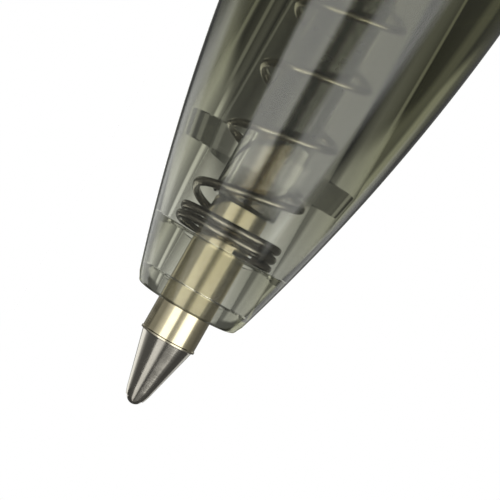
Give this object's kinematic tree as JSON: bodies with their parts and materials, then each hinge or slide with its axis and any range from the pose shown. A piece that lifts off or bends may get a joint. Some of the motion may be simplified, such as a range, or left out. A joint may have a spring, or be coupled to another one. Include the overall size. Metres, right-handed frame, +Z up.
{
  "type": "retractable ballpoint pen",
  "caption": "Click ballpoint pen with a smoke-clear barrel, a metal writing point, a visible return spring, a bent metal clip and a push button at the tail.",
  "frame": {"origin": "on the table, under the middle of the pen's bounding box, with the pen lying on its side", "axes": "+X runs along the pen from the writing point to the push button, +Z is up, and the clip lies on the -Y side with its corner on the table"},
  "size_m": [0.1382, 0.0148, 0.0118],
  "materials": {
    "smoke_plastic": "clear smoke-tinted plastic, polished",
    "bright_trim": "bright plated metal",
    "dark_plastic": "moulded, satin black",
    "spring_steel": "drawn wire",
    "nickel_silver": "turned nickel silver with fine tool rings",
    "clear_plastic": "clear refill tube",
    "ink": "black ink paste",
    "grease": "pale clear grease",
    "carbide": "polished hard ball",
    "natural_plastic": "moulded natural white plastic"
  },
  "bodies": {
    "housing": {"front_barrel": "smoke_plastic", "trim_ring": "bright_trim", "rear_barrel": "smoke_plastic", "clip": "bright_trim", "end_collar": "bright_trim", "cam_sleeve": "dark_plastic", "return_spring": "spring_steel"},
    "push_rod": {"plunger": "dark_plastic", "push_button": "bright_trim"},
    "refill": {"writing_point": "nickel_silver", "ink_tube": "clear_plastic", "ink_column": "ink", "ink_follower": "grease"},
    "ball": {"point_ball": "carbide"},
    "turning_cam": {"rotor": "natural_plastic"}
  },
  "joints": [
    {"name": "button_slide", "type": "slide", "parent": "housing", "child": "push_rod", "axis": [1, 0, 0], "range_m": [0, 0.006]},
    {"name": "refill_slide", "type": "slide", "parent": "housing", "child": "refill", "axis": [1, 0, 0], "range_m": [0, 0.006], "deforming": ["return_spring"]},
    {"name": "rotor_turn", "type": "hinge", "parent": "refill", "child": "turning_cam", "pos_m": [0.0406, 0.00152, 0.0059], "axis": [1, 0, 0], "continuous": true},
    {"name": "ball_roll", "type": "hinge", "parent": "refill", "child": "ball", "pos_m": [-0.06875, 0.00152, 0.0059], "axis": [0, 0, 1], "continuous": true}
  ],
  "couplings": [
    {"joint": "refill_slide", "follows": "button_slide", "ratio": 1}
  ]
}
